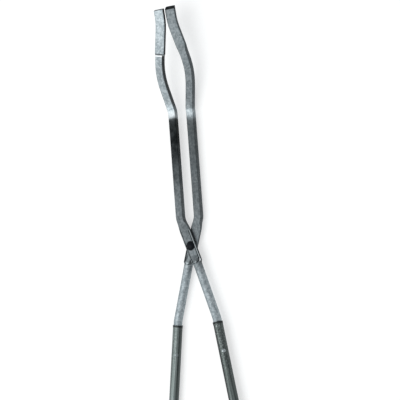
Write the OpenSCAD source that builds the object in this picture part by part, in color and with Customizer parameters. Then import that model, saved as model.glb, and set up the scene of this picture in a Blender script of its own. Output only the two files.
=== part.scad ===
// Raku tongs, lying flat and closed, jaws towards +Y and +Z up. X = Y = 0 is the pivot's axis,
// and Z = 0 is the surface that they lie on, level with the end of the pivot bolt.
// Each arm is one length of round steel tube. It is pressed flat where it crosses the other arm,
// formed to a rounded oblong through the reach and the jaw, pressed flatter again near the tip,
// and left round at the back, where it slides into a handle tube and is riveted.
// The front arm has the left jaw and the right handle.

/* [Arm tube] */
// Outside diameter of the tube that both arms are made of
tube_d = 12.7; // [10:0.1:16]
// Wall of the arm tube
tube_wall = 1.2; // [0.8:0.05:1.5]
// Depth of the oblong that the reach is formed to
reach_depth = 9.3; // [8:0.1:11]
// Depth of the front arm's jaw behind its tip, where it is pressed flatter
front_jaw_depth = 5.7; // [5:0.1:9]
// The same on the rear arm, which is pressed a little more
rear_jaw_depth = 5.4; // [5:0.1:9]
// Outside corner radius of the oblong
oblong_corner = 1.6; // [1.3:0.1:2.5]

/* [Arm bends] */
// Angle between an arm and the centre line where the arms cross
cross_angle = 18.5; // [13:0.5:26]
// Angle between the bar behind the crossing and the centre line
bar_angle = 17; // [9:0.5:22]
// Angle between a handle and the centre line
handle_angle = 8.3; // [3:0.1:14]
// Angle that the first half of a jaw leans outwards
jaw_out_angle = 11.3; // [8:0.1:16]
// Angle that the second half of a jaw leans inwards
jaw_in_angle = 13; // [9:0.1:16]
// Angle that the jaws rise out of the plane of the arms
jaw_lift = 11; // [0:0.5:25]
// Radius of the tight bends, on the tube's centre line
bend_r = 26; // [20:1:34]
// Radius of the round bend at the widest place of a jaw
jaw_bend_r = 105; // [60:5:140]
// Radius of the bend behind the tip of a jaw
tip_bend_r = 86; // [26:2:100]

/* [Arm lengths] */
// Length of the flat that the press leaves, half of it each side of the pivot
flat_l = 50; // [40:1:60]
// Length of the slope from the flat up to the reach
slope_l = 13; // [9:0.5:18]
// Length in which the beads behind the crossing run out into the round tube
shoulder_l = 4; // [3:0.5:14]
// Straight between the front slope and the bend into the reach
lead_l = 1; // [0.5:0.5:20]
// Straight reach
reach_l = 149; // [100:1:230]
// Straight of the jaw's outward half
jaw_out_l = 32; // [20:1:60]
// Share of the jaw's inward half that comes before the step down to its pressed end
step_at = 0.1; // [0.05:0.05:0.2]
// Length of that step on the front arm, where the press leaves a crease
front_step_l = 3; // [2:0.5:16]
// Length of that step on the rear arm, where it is drawn out
rear_step_l = 12; // [2:0.5:16]
// Straight tip of a jaw
tip_l = 9; // [4:1:30]
// Space between the closed tips
tip_gap = 0.3; // [0.2:0.1:1]
// How far the lower wall of the front arm's cut end runs past its upper wall
front_tip_slant = 1.5; // [0:0.5:6]
// The same on the rear arm
rear_tip_slant = 5; // [0:0.5:6]
// Straight bar behind the crossing, up to the bend at the handle
bar_l = 81; // [40:1:130]
// Tube that goes on past that bend, into the handle
spigot_l = 62; // [56:1:90]

/* [Pressed crossing] */
// Slit left between the two pressed walls
slit = 0.3; // [0.2:0.05:0.6]
// How far the bead along each edge of the flat stands above it
bead_rise = 0.85; // [0.3:0.05:0.95]
// Space between the beads of the two arms, where they cross
bead_gap = 0.5; // [0.4:0.1:2]
// Length over which the crown of the round tube sinks into the flat, behind the crossing
crown_l = 12; // [6:1:20]

/* [Pivot] */
// Diameter of the pivot bolt's shank
bolt_d = 6.35; // [5:0.05:7]
// Play between the shank and each hole round it
bolt_play = 0.05; // [0.02:0.01:0.1]
// Play between the faces of the arms, the washers, the head and the nut
face_play = 0.02; // [0.01:0.01:0.05]
// Height of the domed head
head_h = 3.6; // [2.5:0.1:5]
// Upright rim under the dome
head_rim = 0.7; // [0.4:0.1:1.2]
// Space round the head and the washers, up to the beads
seat_play = 0.15; // [0.1:0.05:0.5]
// Thickness of the washer under the nut
washer_t = 1.1; // [0.9:0.1:2]
// Width across the flats of the lock nut
nut_af = 11.1; // [9.5:0.1:12]
// Height of the nut's hexagon
nut_h = 3.2; // [2.5:0.1:5]
// Chamfer on the nut's corners
nut_chamfer = 0.5; // [0.3:0.1:0.8]
// Height of the round collar that holds the nut's insert
collar_h = 1.8; // [1.4:0.1:3]
// Wall of that collar
collar_wall = 0.6; // [0.4:0.1:0.8]
// Least length of shank past the nut
shank_proud = 0.5; // [0.2:0.1:2]

/* [Handles] */
// Radial space between a handle tube and the arm inside it
handle_play = 0.1; // [0.05:0.05:0.3]
// Wall of a handle tube
handle_wall = 0.65; // [0.5:0.05:1.5]
// Length of a handle tube
handle_l = 295; // [150:1:360]
// Straight arm tube that shows between the bend and the handle's mouth
mouth_gap = 4; // [3:0.5:10]
// How far the rolled mouth of a handle stands out
mouth_flare = 0.5; // [0.2:0.1:0.9]
// Length of the rolled mouth
flare_l = 5; // [3:0.5:10]
// From the mouth to the rivet
rivet_back = 43; // [20:1:46]
// Diameter of a rivet's shank
rivet_d = 3.2; // [2.4:0.1:4]
// Play between a rivet and its holes
rivet_play = 0.05; // [0.02:0.01:0.1]
// Diameter of a rivet's heads
rivet_head_d = 5.4; // [4.8:0.1:6.4]
// Height of a rivet's heads
rivet_head_h = 0.9; // [0.6:0.1:1.2]
// Turn of both rivets about their handles, towards +X
rivet_turn = 30; // [0:5:45]
// Length of an end plug inside its handle
plug_l = 16; // [10:1:30]
// Thickness of the plug's round flange
plug_cap = 3; // [2:0.5:6]
// Wall of the plug's skirt
plug_wall = 1.5; // [1:0.1:2]
// Height of the ribs that grip the inside of the handle
rib_h = 0.5; // [0.3:0.1:0.8]
// Radial space left round those ribs
rib_play = 0.03; // [0.01:0.01:0.1]

/* [Hidden] */
$fn = 48;

// Points on each corner of a swept section, rings on a slope, and degrees between those in a bend
corner_n = 6;
slope_n = 6;
crown_n = 5;
step_n = 4;
bend_step = 4.5;
// At its end the swept wall stands this much proud of the spigot inside it, so that they join
seam = 0.02;
// How far that sweep goes on past the bend at the handle, and how deep the spigot starts in it
join_l = 2;
join_lap = 1;
// Cuts run this far past a face
past = 1;

// Forming doesn't stretch the wall, so the length round its middle stays that of the round tube.
// Only between the beads, where the crown comes up, is the girth left a little short of it.
girth = PI * (tube_d - tube_wall);
square_less_round = 8 - 2 * PI;
// A section is [width, depth, corner radius, sink of its flats below its beads, crown on them]
function formed_width(depth, corner) =
    (girth + square_less_round * (corner - tube_wall / 2)) / 2 - (depth - tube_wall) + tube_wall;
function formed(depth, corner, sink = 0, crown = 0) =
    [formed_width(depth, corner), depth, corner, sink, crown];

flat_t = 2 * tube_wall + slit;
bead_d = flat_t + 2 * bead_rise;
flat_section = formed(bead_d, bead_d / 2, bead_rise);
round_section = formed(tube_d, tube_d / 2);
reach_section = formed(reach_depth, oblong_corner);

// The flats end just inside the corners, at a share of the half width that is flat, and at a
// share of the corner radius where the section is round. The crown stands on their middle.
flat_share = 0.97;
round_share = 0.03;
crown_share = 0.4;
function flat_reach(section) = (section[0] / 2 - section[2]) * flat_share + section[2] * round_share;

// Heights of the stack on the pivot, from the surface up
head_d = 2 * (flat_reach(flat_section) - seat_play);
washer_d = head_d;
handle_bore_r = tube_d / 2 + handle_play;
handle_r = handle_bore_r + handle_wall;
nut_total = nut_h + collar_h;
rear_z = max(handle_r + mouth_flare, flat_t / 2 + face_play + washer_t + nut_total + shank_proud);
spacer_t = 2 * bead_rise + bead_gap;
front_z = rear_z + flat_t + spacer_t + 2 * face_play;
bolt_r = bolt_d / 2;
hole_r = bolt_r + bolt_play;

// Lengths and places along a handle, measured back from the end of the bend
rivet_hole_r = rivet_d / 2 + rivet_play;
rivet_y = mouth_gap + rivet_back;
handle_end = mouth_gap + handle_l;

// The inward half of a jaw is as long as it takes for the closed tips to meet
function rise(radius, angle) = radius * (1 - cos(angle));
crossing_x = (flat_l / 2 + slope_l + lead_l) * sin(cross_angle) + rise(bend_r, cross_angle);
widest_x = crossing_x + rise(bend_r, jaw_out_angle) + jaw_out_l * sin(jaw_out_angle)
    + rise(jaw_bend_r, jaw_out_angle);
function jaw_in_l(jaw) =
    (widest_x - rise(jaw_bend_r, jaw_in_angle) - rise(tip_bend_r, jaw_in_angle)
        - jaw[0] / 2 - tip_gap / 2) / sin(jaw_in_angle);

// A run is a list of steps [length, turn to the left, turn upwards, section at its end]
function feed(length, section) = [[length, 0, 0, section]];
function bend(radius, left, up, section) =
    let (angle = max(abs(left), abs(up)), n = max(1, ceil(angle / bend_step)))
    [for (i = [1 : n]) [2 * radius * sin(angle / n / 2), left / n, up / n, section]];
function ease(t) = t * t * (3 - 2 * t);
function blend(from, to, t) = from + (to - from) * t;
// The beads run out in the first half of the front slope
function front_slope() =
    [for (i = [1 : slope_n])
        let (t = i / slope_n, e = ease(t))
        [slope_l / slope_n, 0, 0, formed(
            blend(flat_section[1], reach_section[1], e),
            blend(flat_section[2], reach_section[2], e),
            bead_rise * (1 - ease(min(1, 2 * t)))
        )]];
// At the back the crown of the tube rises between the beads first, and then they run out beside it
crown_h = tube_d / 2 - flat_t / 2;
crown_rise = [for (i = [1 : crown_n])
    [crown_l / crown_n, 0, 0, formed(bead_d, bead_d / 2, bead_rise, crown_h * pow(i / crown_n, 2))]];
shoulder = [for (i = [1 : slope_n])
    let (e = ease(i / slope_n), depth = blend(bead_d, tube_d, e), sink = bead_rise * (1 - e))
    [shoulder_l / slope_n, 0, 0, formed(depth, depth / 2, sink, tube_d / 2 - depth / 2 + sink)]];

function jaw_step(length, jaw) =
    [for (i = [1 : step_n]) [length / step_n, 0, 0, formed(
        blend(reach_section[1], jaw[1], ease(i / step_n)), oblong_corner
    )]];

function forward_run(jaw, step_l) = concat(
    feed(flat_l / 2, flat_section),
    front_slope(),
    feed(lead_l, reach_section),
    bend(bend_r, -cross_angle, 0, reach_section),
    feed(reach_l, reach_section),
    bend(bend_r, 0, jaw_lift, reach_section),
    bend(bend_r, jaw_out_angle, 0, reach_section),
    feed(jaw_out_l, reach_section),
    bend(jaw_bend_r, -jaw_out_angle - jaw_in_angle, 0, reach_section),
    feed(jaw_in_l(jaw) * step_at, reach_section),
    jaw_step(step_l, jaw),
    feed(jaw_in_l(jaw) * (1 - step_at) - step_l, jaw),
    bend(tip_bend_r, jaw_in_angle, 0, jaw),
    feed(tip_l, jaw)
);
backward_run = concat(
    feed(flat_l / 2 - crown_l, flat_section),
    crown_rise,
    shoulder,
    bend(bend_r, bar_angle - cross_angle, 0, round_section),
    feed(bar_l, round_section),
    bend(bend_r, handle_angle - bar_angle, 0, round_section)
);

// A place is [point, matrix whose columns point across the tube, along it and up]
function about_z(a) = [[cos(a), -sin(a), 0], [sin(a), cos(a), 0], [0, 0, 1]];
function about_x(a) = [[1, 0, 0], [0, cos(a), -sin(a)], [0, sin(a), cos(a)]];
function go(place, step) =
    let (
        half = about_z(step[1] / 2) * about_x(step[2] / 2),
        middle = place[1] * half
    )
    [place[0] + middle * [0, step[0], 0], middle * half];
function walk(run, place, i = 0) =
    i == len(run) ? [] :
    let (next = go(place, run[i])) concat([[next, run[i][3]]], walk(run, next, i + 1));

// One ring of a section, counter-clockwise as seen from behind, moved out by a distance
function corner(cx, cz, r, from) =
    [for (i = [0 : corner_n - 1])
        let (a = from + (i + 0.5) * 90 / corner_n) [cx + r * cos(a), cz + r * sin(a)]];
function ring(section, out, round_up) =
    let (
        w = section[0] / 2 + out,
        d = section[1] / 2 + out,
        r = section[2] + out,
        swell = round_up ? r / cos(45 / corner_n) : r,
        flat_x = flat_reach(section),
        flat_z = d - section[3],
        crown_x = flat_x * crown_share,
        crown_z = flat_z + section[4]
    )
    concat(
        corner(w - r, d - r, swell, 0),
        [[flat_x, flat_z], [crown_x, crown_z], [-crown_x, crown_z], [-flat_x, flat_z]],
        corner(r - w, d - r, swell, 90),
        corner(r - w, r - d, swell, 180),
        [[-flat_x, -flat_z], [-crown_x, -crown_z], [crown_x, -crown_z], [flat_x, -flat_z]],
        corner(w - r, r - d, swell, 270)
    );
// side is 1 where the run goes forwards and -1 where it goes back, and slant leans the ring
function placed(station, side, out, round_up, slant = 0) =
    let (place = station[0], depth = station[1][1])
    [for (p = ring(station[1], out, round_up))
        place[0] + place[1] * [side * p[0], slant * (0.5 - p[1] / depth), p[1]]];

// A tube through all stations, behind the pivot first, with its cut end slanted
module swept_tube(behind, ahead, slant) {
    last = len(ahead) - 1;
    function rings(out, proud, round_up) = concat(
        [for (i = [len(behind) - 1 : -1 : 0])
            placed(behind[i], -1, out + (i > len(behind) - 3 ? proud : 0), round_up)],
        [for (i = [0 : last]) placed(ahead[i], 1, out, round_up, i == last ? slant : 0)]
    );
    outer = rings(0, seam, true);
    inner = rings(-tube_wall, -seam, false);
    n = len(outer);
    m = len(outer[0]);
    function at(i, j) = i * m + j % m;
    function wall(base, i, j) =
        let (
            a = base + at(i, j),
            b = base + at(i, j + 1),
            c = base + at(i + 1, j + 1),
            d = base + at(i + 1, j)
        )
        base == 0 ? [[a, b, c], [a, c, d]] : [[a, c, b], [a, d, c]];
    inside = n * m;
    points = [for (r = concat(outer, inner)) each r];
    walls = [for (base = [0, inside], i = [0 : n - 2], j = [0 : m - 1]) each wall(base, i, j)];
    back_end = [for (j = [0 : m - 1])
        let (o = at(0, j), o2 = at(0, j + 1))
        each [[o, inside + o, inside + o2], [o, inside + o2, o2]]];
    cut_end = [for (j = [0 : m - 1])
        let (o = at(n - 1, j), o2 = at(n - 1, j + 1))
        each [[o, o2, inside + o2], [o, inside + o2, inside + o]]];
    polyhedron(points, concat(walls, back_end, cut_end), convexity = 6);
}

// The pivot, looking forwards along the front arm and back along it
pivot_ahead = [[0, 0, 0], about_z(cross_angle)];
pivot_behind = [[0, 0, 0], about_z(cross_angle + 180)];
behind_pivot = walk(backward_run, pivot_behind);
bend_end = behind_pivot[len(behind_pivot) - 1][0];

// Puts a piece on the handle's axis: +Y runs back along it from the end of the bend
module on_handle() {
    p = bend_end[0];
    m = bend_end[1];
    multmatrix([
        [m[0][0], m[0][1], m[0][2], p[0]],
        [m[1][0], m[1][1], m[1][2], p[1]],
        [m[2][0], m[2][1], m[2][2], p[2]]
    ]) children();
}
// A round piece along the handle, from its profile of [radius, distance back]
module turned(profile) rotate([-90, 0, 0]) rotate_extrude() polygon(profile);
module rod(radius, from, to) translate([0, from, 0]) rotate([-90, 0, 0]) cylinder(r = radius, h = to - from);
// A hole or shank through the handle at the rivet, turned towards +X on both sides
module across_handle(front, radius, half) {
    translate([0, rivet_y, 0]) rotate([0, front ? -rivet_turn : rivet_turn, 0])
        cylinder(r = radius, h = 2 * half, center = true);
}

module front_side() translate([0, 0, front_z]) children();
module rear_side() translate([0, 0, rear_z]) mirror([1, 0, 0]) children();

module arm(front, jaw_depth, step_l, slant) {
    ahead = walk(forward_run(formed(jaw_depth, oblong_corner), step_l), pivot_ahead);
    behind = concat(behind_pivot, walk(feed(join_l, round_section), bend_end));
    difference() {
        union() {
            swept_tube(behind, ahead, slant);
            on_handle() difference() {
                rod(tube_d / 2, join_l - join_lap, spigot_l);
                rod(tube_d / 2 - tube_wall, join_l - join_lap - past, spigot_l + past);
            }
        }
        cylinder(r = hole_r, h = 2 * bead_d, center = true);
        on_handle() across_handle(front, rivet_hole_r, tube_d);
    }
}
module front_arm() color("#9fb0b8") front_side()
    arm(true, front_jaw_depth, front_step_l, front_tip_slant);
module rear_arm() color("#87939a") rear_side()
    arm(false, rear_jaw_depth, rear_step_l, rear_tip_slant);

module pivot_bolt() color("#11151c") {
    under_head = front_z + flat_t / 2 + face_play;
    dome_h = head_h - head_rim;
    dome_r = (head_d * head_d / 4 + dome_h * dome_h) / (2 * dome_h);
    cylinder(r = bolt_r, h = under_head + head_rim);
    translate([0, 0, under_head]) cylinder(d = head_d, h = head_rim);
    intersection() {
        translate([0, 0, under_head + head_h - dome_r]) sphere(r = dome_r);
        translate([0, 0, under_head]) cylinder(d = head_d, h = head_h);
    }
}

module washer(z, thickness) translate([0, 0, z]) difference() {
    cylinder(d = washer_d, h = thickness);
    translate([0, 0, -past]) cylinder(r = hole_r, h = thickness + 2 * past);
}
module spacer_washer() color("#b9bdbd") washer(rear_z + flat_t / 2 + face_play, spacer_t);
washer_z = rear_z - flat_t / 2 - face_play - washer_t;
module rear_washer() color("#b9bdbd") washer(washer_z, washer_t);

// The nut hangs under the rear washer, hexagon first, and its collar grips the insert
nut_top = washer_z;
nut_corner_r = nut_af / 2 / cos(30);
collar_r = nut_af / 2 - nut_chamfer;
insert_r = collar_r - collar_wall;
insert_h = collar_h - collar_wall;
module lock_nut() color("#a9afb0") translate([0, 0, nut_top]) mirror([0, 0, 1]) difference() {
    union() {
        intersection() {
            cylinder(r = nut_corner_r, h = nut_h, $fn = 6);
            rotate_extrude() polygon([
                [0, 0],
                [nut_corner_r - nut_chamfer, 0],
                [nut_corner_r, nut_chamfer],
                [nut_corner_r, nut_h - nut_chamfer],
                [nut_corner_r - nut_chamfer, nut_h],
                [0, nut_h]
            ]);
        }
        cylinder(r = collar_r, h = nut_total);
    }
    translate([0, 0, -past]) cylinder(r = hole_r, h = nut_total + 2 * past);
    translate([0, 0, nut_h]) cylinder(r = insert_r, h = insert_h);
    // The rolled lip leaves the middle of the insert open
    translate([0, 0, nut_h]) cylinder(r = insert_r - collar_wall, h = collar_h + past);
}
module nut_insert() color("#e8e6dc") translate([0, 0, nut_top - nut_h - insert_h]) difference() {
    cylinder(r = insert_r, h = insert_h);
    translate([0, 0, -past]) cylinder(r = hole_r, h = insert_h + 2 * past);
}

// The mouth of the tube is rolled outwards over its first few millimetres
module handle_tube(front) on_handle() difference() {
    turned([
        [handle_bore_r + mouth_flare, mouth_gap],
        [handle_r + mouth_flare, mouth_gap],
        [handle_r, mouth_gap + flare_l],
        [handle_r, handle_end],
        [handle_bore_r, handle_end],
        [handle_bore_r, mouth_gap + flare_l]
    ]);
    across_handle(front, rivet_hole_r, 2 * handle_r);
}
module front_handle_tube() color("#4a5152") front_side() handle_tube(true);
module rear_handle_tube() color("#4a5152") rear_side() handle_tube(false);

// One rivet goes through handle and spigot, with a domed head on each side
module handle_rivet(front) on_handle() {
    dome_r = (rivet_head_d * rivet_head_d / 4 + rivet_head_h * rivet_head_h) / (2 * rivet_head_h);
    across_handle(front, rivet_d / 2, handle_r);
    translate([0, rivet_y, 0]) rotate([0, front ? -rivet_turn : rivet_turn, 0])
        for (end = [0, 1]) mirror([0, 0, end]) difference() {
            translate([0, 0, handle_r + rivet_head_h - dome_r]) intersection() {
                sphere(r = dome_r);
                translate([0, 0, dome_r - rivet_head_h - past])
                    cylinder(d = rivet_head_d, h = rivet_head_h + 2 * past);
            }
            rotate([-90, 0, 0]) cylinder(r = handle_r, h = 2 * rivet_head_d, center = true);
        }
}
module front_handle_rivet() color("#c9cccb") front_side() handle_rivet(true);
module rear_handle_rivet() color("#c9cccb") rear_side() handle_rivet(false);

// A plug is pushed into the handle's end: a round-edged flange and a hollow, ribbed skirt
rib_count = 3;
rib_l = 1;
module end_plug() on_handle() difference() {
    rib_r = handle_bore_r - rib_play;
    skirt_r = rib_r - rib_h;
    edge_r = plug_cap / 2;
    rib_pitch = plug_l / (rib_count + 1);
    union() {
        rod(skirt_r, handle_end - plug_l, handle_end + plug_cap / 2);
        for (i = [1 : rib_count])
            rod(rib_r, handle_end - i * rib_pitch - rib_l / 2, handle_end - i * rib_pitch + rib_l / 2);
        turned(concat(
            [[0, handle_end], [handle_r, handle_end]],
            [for (a = [0 : 15 : 90]) [
                handle_r - edge_r + edge_r * cos(a),
                handle_end + plug_cap - edge_r + edge_r * sin(a)
            ]],
            [[0, handle_end + plug_cap]]
        ));
    }
    rod(skirt_r - plug_wall, handle_end - plug_l - past, handle_end);
}
module front_end_plug() color("#1b1d1f") front_side() end_plug();
module rear_end_plug() color("#1b1d1f") rear_side() end_plug();

front_arm();
rear_arm();
pivot_bolt();
spacer_washer();
rear_washer();
lock_nut();
nut_insert();
front_handle_tube();
rear_handle_tube();
front_handle_rivet();
rear_handle_rivet();
front_end_plug();
rear_end_plug();
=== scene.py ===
import math
import bpy
from mathutils import Matrix, Vector


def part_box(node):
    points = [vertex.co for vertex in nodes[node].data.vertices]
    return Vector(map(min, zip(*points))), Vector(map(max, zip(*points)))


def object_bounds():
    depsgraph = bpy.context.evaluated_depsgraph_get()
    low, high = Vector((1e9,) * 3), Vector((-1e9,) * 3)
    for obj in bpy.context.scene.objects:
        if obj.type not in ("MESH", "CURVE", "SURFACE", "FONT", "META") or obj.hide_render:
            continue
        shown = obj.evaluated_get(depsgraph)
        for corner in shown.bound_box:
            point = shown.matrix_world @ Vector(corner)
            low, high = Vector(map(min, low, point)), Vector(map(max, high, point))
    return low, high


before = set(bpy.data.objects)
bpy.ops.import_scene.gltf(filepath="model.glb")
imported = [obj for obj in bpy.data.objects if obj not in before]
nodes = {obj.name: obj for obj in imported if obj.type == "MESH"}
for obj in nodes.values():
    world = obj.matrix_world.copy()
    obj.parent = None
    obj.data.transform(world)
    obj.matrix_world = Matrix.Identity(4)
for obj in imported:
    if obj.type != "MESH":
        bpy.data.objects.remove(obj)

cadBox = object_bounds()
mmPerMetre = 1000.0
print("frame loaded:", len(nodes), "pieces")


def toLinear(hexColour):
    # sRGB hex to the linear colour, with its alpha, that Blender's sockets take
    parts = [int(hexColour[i:i + 2], 16) / 255 for i in (0, 2, 4)]
    linear = [c / 12.92 if c <= 0.04045 else ((c + 0.055) / 1.055) ** 2.4 for c in parts]
    return (*linear, 1.0)


def addNode(tree, kind, settings=None, inputs=None):
    # settings are the node's own properties; an input is a value or another node's socket
    made = tree.nodes.new(kind)
    for name, value in (settings or {}).items():
        setattr(made, name, value)
    for name, value in (inputs or {}).items():
        if isinstance(value, bpy.types.NodeSocket):
            tree.links.new(value, made.inputs[name])
        else:
            made.inputs[name].default_value = value
    return made


def newMaterial(name):
    made = bpy.data.materials.new(name)
    made.use_nodes = True
    made.node_tree.nodes.clear()
    return made, made.node_tree


def dress(names, material):
    for name in names:
        slots = nodes[name].data.materials
        slots.clear()
        slots.append(material)


# the photograph's own angle, found from the outlines of both arms
cameraView = {
    "turn": 28.646, "tilt": -6.625, "roll": -4.316,  # degrees
    "distance": 2.317194, "aim": (0.013629, 0.066426, 0.0), "farthest": 20,  # metres
    "focalLength": 1580.976, "photoWidth": 400,  # pixels of the photograph
    "sensorWidth": 36,  # mm
}


def placeCamera(spec):
    leanX, leanY = (math.tan(math.radians(spec[name])) for name in ("turn", "tilt"))
    away = Vector((leanX, leanY, 1)).normalized()
    side = Vector((0, 1, 0)).cross(away).normalized()
    rise = away.cross(side)
    roll = math.radians(spec["roll"])
    right = side * math.cos(roll) + rise * math.sin(roll)
    up = rise * math.cos(roll) - side * math.sin(roll)
    data = bpy.data.cameras.new("photoCamera")
    data.sensor_width = spec["sensorWidth"]
    data.lens = spec["sensorWidth"] * spec["focalLength"] / spec["photoWidth"]
    data.clip_end = spec["farthest"]
    camera = bpy.data.objects.new("photoCamera", data)
    place = Vector(spec["aim"]) + away * spec["distance"]
    turn = Matrix((right, up, away)).transposed().to_4x4()
    camera.matrix_world = Matrix.Translation(place) @ turn
    bpy.context.scene.collection.objects.link(camera)
    bpy.context.scene.camera = camera


placeCamera(cameraView)
print("camera placed")

# a pale floor, an even sky, and one soft lamp above the tongs, a little to the left and towards the
# handles
studio = {
    "floorSize": 60.0, "floorColour": "C8C9C9",
    "floorLift": 0.52, "liftColour": "FFFFFF",  # glow that brings the paper up to white
    "skyStrength": 0.62, "skyColour": "F6F8FA",
    "keyPower": 27, "keySize": 2.2, "keyDistance": 2.2,
    "keyFrom": (-0.34, -0.22, 0.9), "keyAim": (0, 0.05, 0),
}


def buildFloor(spec):
    half, z = spec["floorSize"] / 2, cadBox[0][2]
    corners = [(-half, -half, z), (half, -half, z), (half, half, z), (-half, half, z)]
    mesh = bpy.data.meshes.new("studioFloor")
    mesh.from_pydata(corners, [], [(0, 1, 2, 3)])
    floor = bpy.data.objects.new("studioFloor", mesh)
    bpy.context.scene.collection.objects.link(floor)
    paper, tree = newMaterial("studioPaper")
    surface = addNode(tree, "ShaderNodeBsdfDiffuse", inputs={"Color": toLinear(spec["floorColour"])})
    # seen directly or in the metal, the paper is lifted to white, and its shadows stay
    path = addNode(tree, "ShaderNodeLightPath")
    seen = path.outputs["Is Camera Ray"]
    for ray in ("Is Glossy Ray", "Is Transmission Ray"):
        seen = addNode(tree, "ShaderNodeMath", {"operation": "MAXIMUM"}, {
            0: seen, 1: path.outputs[ray]}).outputs[0]
    lift = addNode(tree, "ShaderNodeMath", {"operation": "MULTIPLY"}, {
        0: seen, 1: spec["floorLift"]}).outputs[0]
    glow = addNode(tree, "ShaderNodeEmission", inputs={
        "Color": toLinear(spec["liftColour"]), "Strength": lift})
    both = addNode(tree, "ShaderNodeAddShader", inputs={0: surface.outputs[0], 1: glow.outputs[0]})
    addNode(tree, "ShaderNodeOutputMaterial", inputs={"Surface": both.outputs[0]})
    mesh.materials.append(paper)


def buildKeyLamp(spec):
    # an area lamp that looks back at the tongs
    data = bpy.data.lights.new("keyLamp", "AREA")
    data.energy, data.size = spec["keyPower"], spec["keySize"]
    lamp = bpy.data.objects.new("keyLamp", data)
    towards = Vector(spec["keyFrom"]).normalized()
    place = Vector(spec["keyAim"]) + towards * spec["keyDistance"]
    turn = towards.to_track_quat("Z", "Y").to_matrix().to_4x4()
    lamp.matrix_world = Matrix.Translation(place) @ turn
    bpy.context.scene.collection.objects.link(lamp)


def buildSky(spec):
    world = bpy.data.worlds.new("studioSky")
    world.use_nodes = True
    tree = world.node_tree
    tree.nodes.clear()
    sky = addNode(tree, "ShaderNodeBackground", inputs={
        "Color": toLinear(spec["skyColour"]), "Strength": spec["skyStrength"]})
    addNode(tree, "ShaderNodeOutputWorld", inputs={"Surface": sky.outputs[0]})
    bpy.context.scene.world = world


buildFloor(studio)
buildKeyLamp(studio)
buildSky(studio)
bpy.context.scene.view_settings.view_transform = "Standard"
print("studio built")

# the values that a noise texture mostly keeps to
noiseSpan = (0.3, 0.7)


def band(tree, value, centre, half, soft, much=1.0):
    # much within half of the centre, and nothing beyond, with a soft edge on both sides
    off = addNode(tree, "ShaderNodeMath", {"operation": "SUBTRACT"}, {0: value, 1: centre}).outputs[0]
    size = addNode(tree, "ShaderNodeMath", {"operation": "ABSOLUTE"}, {0: off}).outputs[0]
    return addNode(tree, "ShaderNodeMapRange", {"interpolation_type": "SMOOTHSTEP"}, {
        "Value": size, "From Min": half + soft, "From Max": half - soft, "To Max": much}).outputs[0]


def turnedAside(tree, normal, least, most, much=1.0):
    # much on walls that face left or right, nothing on those that face up, down or along the tongs
    across = addNode(tree, "ShaderNodeSeparateXYZ", inputs={0: normal}).outputs["X"]
    aside = addNode(tree, "ShaderNodeMath", {"operation": "ABSOLUTE"}, {0: across}).outputs[0]
    return addNode(tree, "ShaderNodeMapRange", {"interpolation_type": "SMOOTHSTEP"}, {
        "Value": aside, "From Min": least, "From Max": most, "To Max": much}).outputs[0]


def paintLayers(tree, spec, ground, layers):
    # a layer is how much of it shows and the name of its tone, and the last one lies on top
    colour = toLinear(spec[ground])
    for share, tone in layers:
        colour = addNode(tree, "ShaderNodeMix", {"data_type": "RGBA"}, {
            "Factor": share, 6: colour, 7: toLinear(spec[tone])}).outputs[2]
    return colour


def addSurface(tree, spec, colour, wear, height):
    # the roughness goes with the wear
    rough = addNode(tree, "ShaderNodeMapRange", inputs={
        "Value": wear, "From Min": noiseSpan[0], "From Max": noiseSpan[1],
        "To Min": spec["roughness"][0], "To Max": spec["roughness"][1]}).outputs[0]
    bump = addNode(tree, "ShaderNodeBump", inputs={
        "Strength": spec["bumpStrength"], "Distance": spec["bump"], "Height": height}).outputs[0]
    surface = addNode(tree, "ShaderNodeBsdfPrincipled", inputs={
        "Base Color": colour, "Metallic": spec["metallic"], "Roughness": rough, "Normal": bump,
        "Specular IOR Level": spec["specular"]})
    addNode(tree, "ShaderNodeOutputMaterial", inputs={"Surface": surface.outputs[0]})


# the arms are steel tube, zinc plated and smoked by the kiln: the plating gives a cool grey with a
# faint flowered grain, and the reaches are made nearly black by kiln smoke together with painted shade
platedTube = {
    # the darkest tone serves kiln smoke and painted shade, and the two lightest tones are painted
    # highlights
    "clean": "DAE4E8", "dull": "AAB6BB", "sootAndShade": "15191A", "paintedSheen": "E4EEF0", "paintedGlint": "FBFEFF",
    "metallic": 0.9, "specular": 0.5, "roughness": (0.52, 0.70),  # least and most
    "bump": 0.0001, "bumpStrength": 0.5,  # the height in metres, and how much of it shows
    "grainSize": 2.5, "mottleSize": 16.0, "scratchWidth": 0.6,  # mm
    "scratchStretch": (1.0, 0.04, 1.0),  # the scratches run along the tongs
    "mottle": 0.06,  # how much lighter or darker the smoke and painted shade are in patches
    "waveSize": 14, "wave": 8.0,  # length and reach of the waves in the edges of the smoke and painted shade, in mm
    "aside": (0.46, 0.92),  # from hardly to fully sideways
    "shadeReach": 0.0045,  # how far into a hollow or crease the painted shade reaches, in metres
    "hollow": (0.5, 0.05, 0.9),  # painted shade in hollows: from hardly to fully closed in, and how dark
    "endShadeSoft": 0.3, "endShadeDark": 0.95,  # soft edge of the painted shade at the cut end in mm, and how dark
    "markSoft": 0.3, "markEndSoft": 0.8,  # soft edges of a mark, across and along, in mm
}
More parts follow.
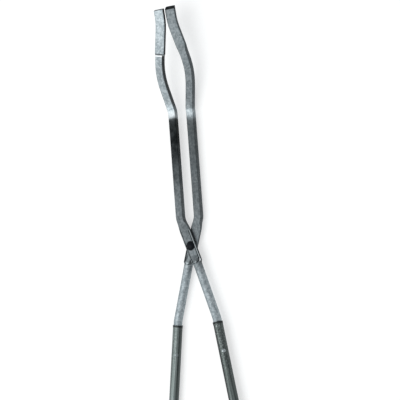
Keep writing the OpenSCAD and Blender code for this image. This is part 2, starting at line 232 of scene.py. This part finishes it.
# smoke is a row of (mm along Y from the pivot, darkness of the upper and lower faces, more of it on
# the sides): kiln smoke together with painted shade, where the faces go light near 190 to 205 mm a
# painted highlight on the bend, and the extra on the sides painted shade; marks are (mm across the
# pressed crossing, half width, mm along it, half length, tone, strength), painted shade and highlights
frontFinish = {
    "name": "zincPlatedTubeFront", "node": "front_arm",
    "lean": 18.5,  # degrees between the arm and the centre line at the crossing
    "endShade": 2.6,  # length of the cut end painted black as shade in the open tube, in mm
    "bendHighlight": (195.5, 4, 0.5),  # a painted highlight on the bend: mm along Y, half length, strength
    "smokeAndShade": [
        (-110, 0.28, 0.1), (-45, 0.34, 0.1), (-26, 0.56, 0.5), (-20, 0.61, 0.95), (0, 0.68, 0.95),
        (20, 0.72, 0.8), (34, 0.72, 0.4), (62, 0.68, 0.3), (112, 0.88, 0.15), (150, 0.985, 0.0),
        (172, 0.985, 0.0), (184, 0.95, 0.0), (188, 0.91, 0.2), (193, 0.03, 0.5), (204, 0.02, 0.75),
        (214, 0.42, 0.85), (262, 0.37, 0.92), (283, 0.24, 0.95), (352, 0.14, 0.95),
    ],
    "paintedLightMarks": [
        (5.7, 0.75, -1.5, 24.5, "sootAndShade", 0.95),  # painted shade in the fold beside the bead
        (7.1, 0.7, -1.5, 24.5, "paintedSheen", 0.38),  # a painted highlight on the bead's crest
        (6.8, 1.1, -25.3, 1.7, "paintedGlint", 1.0),  # and a painted glint at its end
    ],
    "ring": (6.4, 0.75, 0.85),  # painted shadow round the bolt's head: radius, half width in mm, strength
    # the crease that the press left across the jaw, with a painted highlight along it and painted shade
    # beside it
    "crease": {
        "lean": 0.24, "height": 2.0,  # its slant, and its height where the scratches have 1
        "place": 277.4, "half": 1.2,  # mm along Y, half width
        "shade": 2.3, "shadeHalf": 1.1, "shadeMuch": 0.55,  # mm past the crease, half width, strength
    },
}
rearFinish = {
    "name": "zincPlatedTubeRear", "node": "rear_arm",
    "lean": -18.5, "endShade": 5.8, "bendHighlight": (196.5, 3.5, 0.08),
    "smokeAndShade": [
        (-110, 0.26, 0.1), (-45, 0.31, 0.1), (-20, 0.50, 0.5), (0, 0.62, 0.6), (30, 0.65, 0.5),
        (66, 0.755, 0.35), (139, 0.82, 0.35), (180, 0.835, 0.35), (184, 0.78, 0.35), (189, 0.42, 0.4),
        (194, 0.10, 0.4), (199, 0.13, 0.5), (203, 0.56, 0.5), (214, 0.64, 0.5), (250, 0.63, 0.6),
        (293, 0.54, 0.7), (352, 0.55, 0.7),
    ],
    "paintedLightMarks": [
        (-7.2, 1.6, -13, 13, "sootAndShade", 0.62),  # painted shade down the left bead, behind the pivot
        (-4.4, 1.2, -20, 7, "sootAndShade", 0.4),  # and painted shade in the hollows beside the crown
        (4.4, 1.2, -20, 7, "sootAndShade", 0.4),
        (0, 2.2, -24, 9, "paintedSheen", 0.3),  # a painted highlight on the crown itself
    ],
}


def smokeAndShadeAlong(tree, spec, stops, mm, along):
    # how dark the faces are (smoke and painted shade) and, in its second output, how much more the sides
    # are
    wander = addNode(tree, "ShaderNodeTexNoise", inputs={
        "Vector": mm, "Scale": 1 / spec["waveSize"], "Detail": 2.0}).outputs["Fac"]
    place = addNode(tree, "ShaderNodeMath", {"operation": "MULTIPLY_ADD"}, {
        0: wander, 1: spec["wave"], 2: along}).outputs[0]
    low, high = stops[0][0], stops[-1][0]
    mean = spec["wave"] / 2
    share = addNode(tree, "ShaderNodeMapRange", inputs={
        "Value": place, "From Min": low + mean, "From Max": high + mean}).outputs[0]
    ramp = addNode(tree, "ShaderNodeValToRGB", inputs={"Fac": share})
    while len(ramp.color_ramp.elements) < len(stops):
        ramp.color_ramp.elements.new(0.5)
    for stop, (at, faces, sides) in zip(ramp.color_ramp.elements, stops):
        stop.position = (at - low) / (high - low)
        stop.color = (faces, sides, 0, 1)
    return addNode(tree, "ShaderNodeSeparateColor", inputs={0: ramp.outputs["Color"]})


def crossingLightMarks(tree, spec, finish, mm):
    # painted shade and painted highlights on the beads and crown, in the crossing's own directions
    turned = addNode(tree, "ShaderNodeMapping", inputs={
        "Vector": mm, "Rotation": (0, 0, -math.radians(finish["lean"]))}).outputs[0]
    crossing = addNode(tree, "ShaderNodeSeparateXYZ", inputs={0: turned})
    layers = []
    for across, halfWidth, along, halfLength, tone, much in finish["paintedLightMarks"]:
        stripe = band(tree, crossing.outputs["X"], across, halfWidth, spec["markSoft"])
        stretch = band(tree, crossing.outputs["Y"], along, halfLength, spec["markEndSoft"], much)
        spot = addNode(tree, "ShaderNodeMath", {"operation": "MULTIPLY"}, {
            0: stripe, 1: stretch}).outputs[0]
        layers.append((spot, tone))
    return layers


def boltShadowRing(tree, spec, ring, split):
    # a ring of painted shadow about the pivot's axis, at X and Y zero
    radius, half, much = ring
    flat = addNode(tree, "ShaderNodeCombineXYZ", inputs={
        "X": split.outputs["X"], "Y": split.outputs["Y"]}).outputs[0]
    reach = addNode(tree, "ShaderNodeVectorMath", {"operation": "LENGTH"}, {0: flat}).outputs["Value"]
    return band(tree, reach, radius, half, spec["markSoft"], much)


def jawCrease(tree, crease, split):
    # painted shade beside the crease and a painted highlight along it
    across = addNode(tree, "ShaderNodeMath", {"operation": "MULTIPLY_ADD"}, {
        0: split.outputs["X"], 1: crease["lean"], 2: split.outputs["Y"]}).outputs[0]
    shade = band(tree, across, crease["place"] + crease["shade"], crease["shadeHalf"],
                 crease["shadeHalf"] / 2, crease["shadeMuch"])
    shine = band(tree, across, crease["place"], crease["half"], crease["half"] / 2)
    return shade, shine


def shadeLayers(tree, spec, finish, normal, along, sides):
    # painted shade on walls that face sideways, more than on the upper and lower faces
    aside = turnedAside(tree, normal, *spec["aside"])
    sideShade = addNode(tree, "ShaderNodeMath", {"operation": "MULTIPLY"}, {0: aside, 1: sides}).outputs[0]
    # painted shade is thickest in hollows and creases and inside the tubes
    openness = addNode(tree, "ShaderNodeAmbientOcclusion", {"samples": 8}, {
        "Distance": spec["shadeReach"]}).outputs["AO"]
    opened, closed, dark = spec["hollow"]
    hollow = addNode(tree, "ShaderNodeMapRange", inputs={
        "Value": openness, "From Min": opened, "From Max": closed, "To Max": dark}).outputs[0]
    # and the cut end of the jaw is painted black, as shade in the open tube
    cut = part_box(finish["node"])[1][1] * mmPerMetre - finish["endShade"]
    soft = spec["endShadeSoft"]
    endShade = addNode(tree, "ShaderNodeMapRange", inputs={
        "Value": along, "From Min": cut - soft, "From Max": cut + soft,
        "To Max": spec["endShadeDark"]}).outputs[0]
    return [(sideShade, "sootAndShade"), (hollow, "sootAndShade"), (endShade, "sootAndShade")]


def buildPlatedTube(spec, finish):
    made, tree = newMaterial(finish["name"])
    coords = addNode(tree, "ShaderNodeTexCoord")
    mm = addNode(tree, "ShaderNodeVectorMath", {"operation": "SCALE"}, {
        0: coords.outputs["Object"], "Scale": mmPerMetre}).outputs[0]
    split = addNode(tree, "ShaderNodeSeparateXYZ", inputs={0: mm})
    smokeAndShade = smokeAndShadeAlong(tree, spec, finish["smokeAndShade"], mm, split.outputs["Y"])
    mottle = addNode(tree, "ShaderNodeTexNoise", inputs={
        "Vector": mm, "Scale": 1 / spec["mottleSize"], "Detail": 5.0, "Roughness": 0.65}).outputs["Fac"]
    patches = addNode(tree, "ShaderNodeMapRange", inputs={
        "Value": mottle, "From Min": noiseSpan[0], "From Max": noiseSpan[1],
        "To Min": -spec["mottle"], "To Max": spec["mottle"]}).outputs[0]
    sootAndShade = addNode(tree, "ShaderNodeMath", {"operation": "ADD", "use_clamp": True}, {
        0: smokeAndShade.outputs[0], 1: patches}).outputs[0]
    grain = addNode(tree, "ShaderNodeTexVoronoi", inputs={"Vector": mm, "Scale": 1 / spec["grainSize"]})
    flowers = addNode(tree, "ShaderNodeSeparateColor", inputs={0: grain.outputs["Color"]}).outputs[0]
    scratchPlace = addNode(tree, "ShaderNodeMapping", inputs={
        "Vector": mm, "Scale": spec["scratchStretch"]}).outputs[0]
    scratch = addNode(tree, "ShaderNodeTexNoise", inputs={
        "Vector": scratchPlace, "Scale": 1 / spec["scratchWidth"], "Detail": 3.0}).outputs["Fac"]
    height = addNode(tree, "ShaderNodeMath", {"operation": "ADD"}, {0: scratch, 1: mottle}).outputs[0]
    # the plating's flowered grain, then smoke and painted shade along the arm
    layers = [(flowers, "dull"), (sootAndShade, "sootAndShade")]
    layers += crossingLightMarks(tree, spec, finish, mm)
    # a painted highlight on the bend
    bend, half, much = finish["bendHighlight"]
    layers.append((band(tree, split.outputs["Y"], bend, half, half, much), "paintedGlint"))
    # a painted shadow round the bolt's head
    if "ring" in finish:
        layers.append((boltShadowRing(tree, spec, finish["ring"], split), "sootAndShade"))
    if "crease" in finish:
        shade, shine = jawCrease(tree, finish["crease"], split)
        layers += [(shade, "sootAndShade"), (shine, "paintedGlint")]
        height = addNode(tree, "ShaderNodeMath", {"operation": "MULTIPLY_ADD"}, {
            0: shine, 1: finish["crease"]["height"], 2: height}).outputs[0]
    normal, along, sides = coords.outputs["Normal"], split.outputs["Y"], smokeAndShade.outputs[1]
    layers += shadeLayers(tree, spec, finish, normal, along, sides)
    addSurface(tree, spec, paintLayers(tree, spec, "clean", layers), scratch, height)
    dress([finish["node"]], made)


buildPlatedTube(platedTube, frontFinish)
buildPlatedTube(platedTube, rearFinish)
print("arms dressed")


def handleFlecksAndShade(tree, spec, normal, mm, along):
    # chips and pits in the enamel, thickest near the handle's mouth
    mouth, half, dark = spec["mouth"]
    size, length, plain = spec["flecks"]
    near = addNode(tree, "ShaderNodeMapRange", inputs={
        "Value": along, "From Min": mouth - length, "From Max": mouth, "To Max": plain}).outputs[0]
    speck = addNode(tree, "ShaderNodeTexNoise", inputs={
        "Vector": mm, "Scale": 1 / size, "Detail": 2.0, "Roughness": 0.6}).outputs["Fac"]
    layers = []
    for (least, most), tone in ((spec["chips"], "chip"), (spec["pits"], "black")):
        fleck = addNode(tree, "ShaderNodeMapRange", inputs={
            "Value": speck, "From Min": least, "From Max": most}).outputs[0]
        share = addNode(tree, "ShaderNodeMath", {"operation": "MULTIPLY"}, {0: fleck, 1: near}).outputs[0]
        layers.append((share, tone))
    # painted shade along both sides, more on the one that faces the other handle, and a painted shadow
    # ring at the mouth
    layers.append((turnedAside(tree, normal, *spec["edgeShade"]), "black"))
    facing = addNode(tree, "ShaderNodeSeparateXYZ", inputs={0: normal}).outputs["X"]
    clean, darkest, much = spec["inner"]
    inner = addNode(tree, "ShaderNodeMapRange", {"interpolation_type": "SMOOTHSTEP"}, {
        "Value": facing, "From Min": clean, "From Max": darkest, "To Max": much}).outputs[0]
    ring = band(tree, along, mouth, half, spec["mouthSoft"], dark)
    return layers + [(inner, "black"), (ring, "black")]


def buildFinish(name, spec):
    # one builder for the other metals and plastics: a tone that varies, with its wear and its bump
    made, tree = newMaterial(name)
    coords = addNode(tree, "ShaderNodeTexCoord")
    mm = addNode(tree, "ShaderNodeVectorMath", {"operation": "SCALE"}, {
        0: coords.outputs["Object"], "Scale": mmPerMetre}).outputs[0]
    straight = addNode(tree, "ShaderNodeMapping", inputs={
        "Vector": mm, "Rotation": (0, 0, math.radians(spec["turn"]))}).outputs[0]
    drawn = addNode(tree, "ShaderNodeMapping", inputs={
        "Vector": straight, "Scale": spec["stretch"]}).outputs[0]
    tone = addNode(tree, "ShaderNodeTexNoise", inputs={
        "Vector": drawn, "Scale": 1 / spec["grain"], "Detail": 4.0, "Roughness": 0.6}).outputs["Fac"]
    share = addNode(tree, "ShaderNodeMapRange", inputs={
        "Value": tone, "From Min": spec["toneSpan"][0], "From Max": spec["toneSpan"][1]}).outputs[0]
    layers = [(share, "light")]
    if "edgeShade" in spec:
        along = addNode(tree, "ShaderNodeSeparateXYZ", inputs={0: straight}).outputs["Y"]
        layers += handleFlecksAndShade(tree, spec, coords.outputs["Normal"], mm, along)
    addSurface(tree, spec, paintLayers(tree, spec, "dark", layers), tone, tone)
    return made


# what a finish below has where it says nothing else
plainFinish = {
    "turn": 0, "stretch": (1, 1, 1),  # degrees that bring the grain onto Y, and its scale along X, Y, Z
    "toneSpan": (0.32, 0.68),  # the noise's values that show all dark and all light
    "metallic": 0.0, "specular": 0.5, "bump": 0.00002, "bumpStrength": 0.4,
}
# drawn steel tube under a thin dark enamel: long soft streaks, half gloss
enamelledTube = {
    **plainFinish,
    "light": "9BA5A3", "dark": "465150", "black": "15191A", "chip": "ADB5B4",
    "grain": 1.6, "turn": -8.3, "stretch": (1.0, 0.02, 1.0),
    "roughness": (0.37, 0.49), "metallic": 0.75, "bump": 0.00003,
    "edgeShade": (0.52, 0.89, 0.5),  # painted shade on both sides: from hardly to fully sideways, and how dark
    "inner": (0.45, 0.8, 0.3),  # painted shade on the side that faces the other handle: from its unshaded to its darkest edge, and how dark
    "mouth": (-118.7, 1.5, 0.85), "mouthSoft": 0.4,  # painted shadow ring at the mouth: its place along the tube, half width, how dark
    "flecks": (2.2, 90, 0.3),  # size and reach from the mouth in mm, how plain
    "chips": (0.54, 0.62), "pits": (0.46, 0.38),  # the noise's values where a fleck starts and is whole
}
# the left handle leans the other way
rearHandle = {**enamelledTube, "turn": -enamelledTube["turn"]}
# the right handle is darker, with stronger painted shade on the side that faces the other handle
frontHandle = {
    **enamelledTube,
    "light": "79827F", "dark": "353D3D", "inner": (-0.05, -0.5, 0.65), "flecks": (2.2, 110, 0.55),
}
# steel rivets, whose heads have the same enamel: smooth domes that catch the light as a bright dot
enamelledRivet = {
    **plainFinish,
    "light": "AEB6B8", "dark": "8C9597", "grain": 0.8,
    "roughness": (0.21, 0.33), "metallic": 0.85, "bump": 0.00001,
}
# the left handle's rivet is duller
dullRivet = {**enamelledRivet, "light": "868F8F", "roughness": (0.31, 0.43)}
# blackened bolt steel: almost black with a blue cast, a soft sheen on the dome
blackBolt = {
    **plainFinish,
    "light": "0A1119", "dark": "04080D", "grain": 0.8, "roughness": (0.37, 0.49), "specular": 0.13,
}
# turned bright steel: a clean light grey that mirrors what is round it a little blurred
brightSteel = {
    **plainFinish,
    "light": "C9CFD2", "dark": "A8AEB1", "grain": 0.7, "roughness": (0.21, 0.33), "metallic": 1.0,
}
# moulded nylon: off white, with a dull even shine
nylon = {
    **plainFinish,
    "light": "DAD9D2", "dark": "C8C6BC", "grain": 1.5, "roughness": (0.40, 0.52),
}
# moulded black rubber: matt, and never quite black
rubber = {
    **plainFinish,
    "light": "2A2B2C", "dark": "181919", "grain": 1.0, "roughness": (0.65, 0.77), "bump": 0.00005,
}

dress(["rear_handle_tube"], buildFinish("enamelledTubeRear", rearHandle))
dress(["front_handle_tube"], buildFinish("enamelledTubeFront", frontHandle))
dress(["pivot_bolt"], buildFinish("blackenedBolt", blackBolt))
dress(["spacer_washer", "rear_washer", "lock_nut"], buildFinish("brightSteel", brightSteel))
dress(["front_handle_rivet"], buildFinish("enamelledRivetFront", enamelledRivet))
dress(["rear_handle_rivet"], buildFinish("enamelledRivetRear", dullRivet))
dress(["nut_insert"], buildFinish("mouldedNylon", nylon))
dress(["front_end_plug", "rear_end_plug"], buildFinish("mouldedRubber", rubber))
print("handles, bolt and small parts dressed")
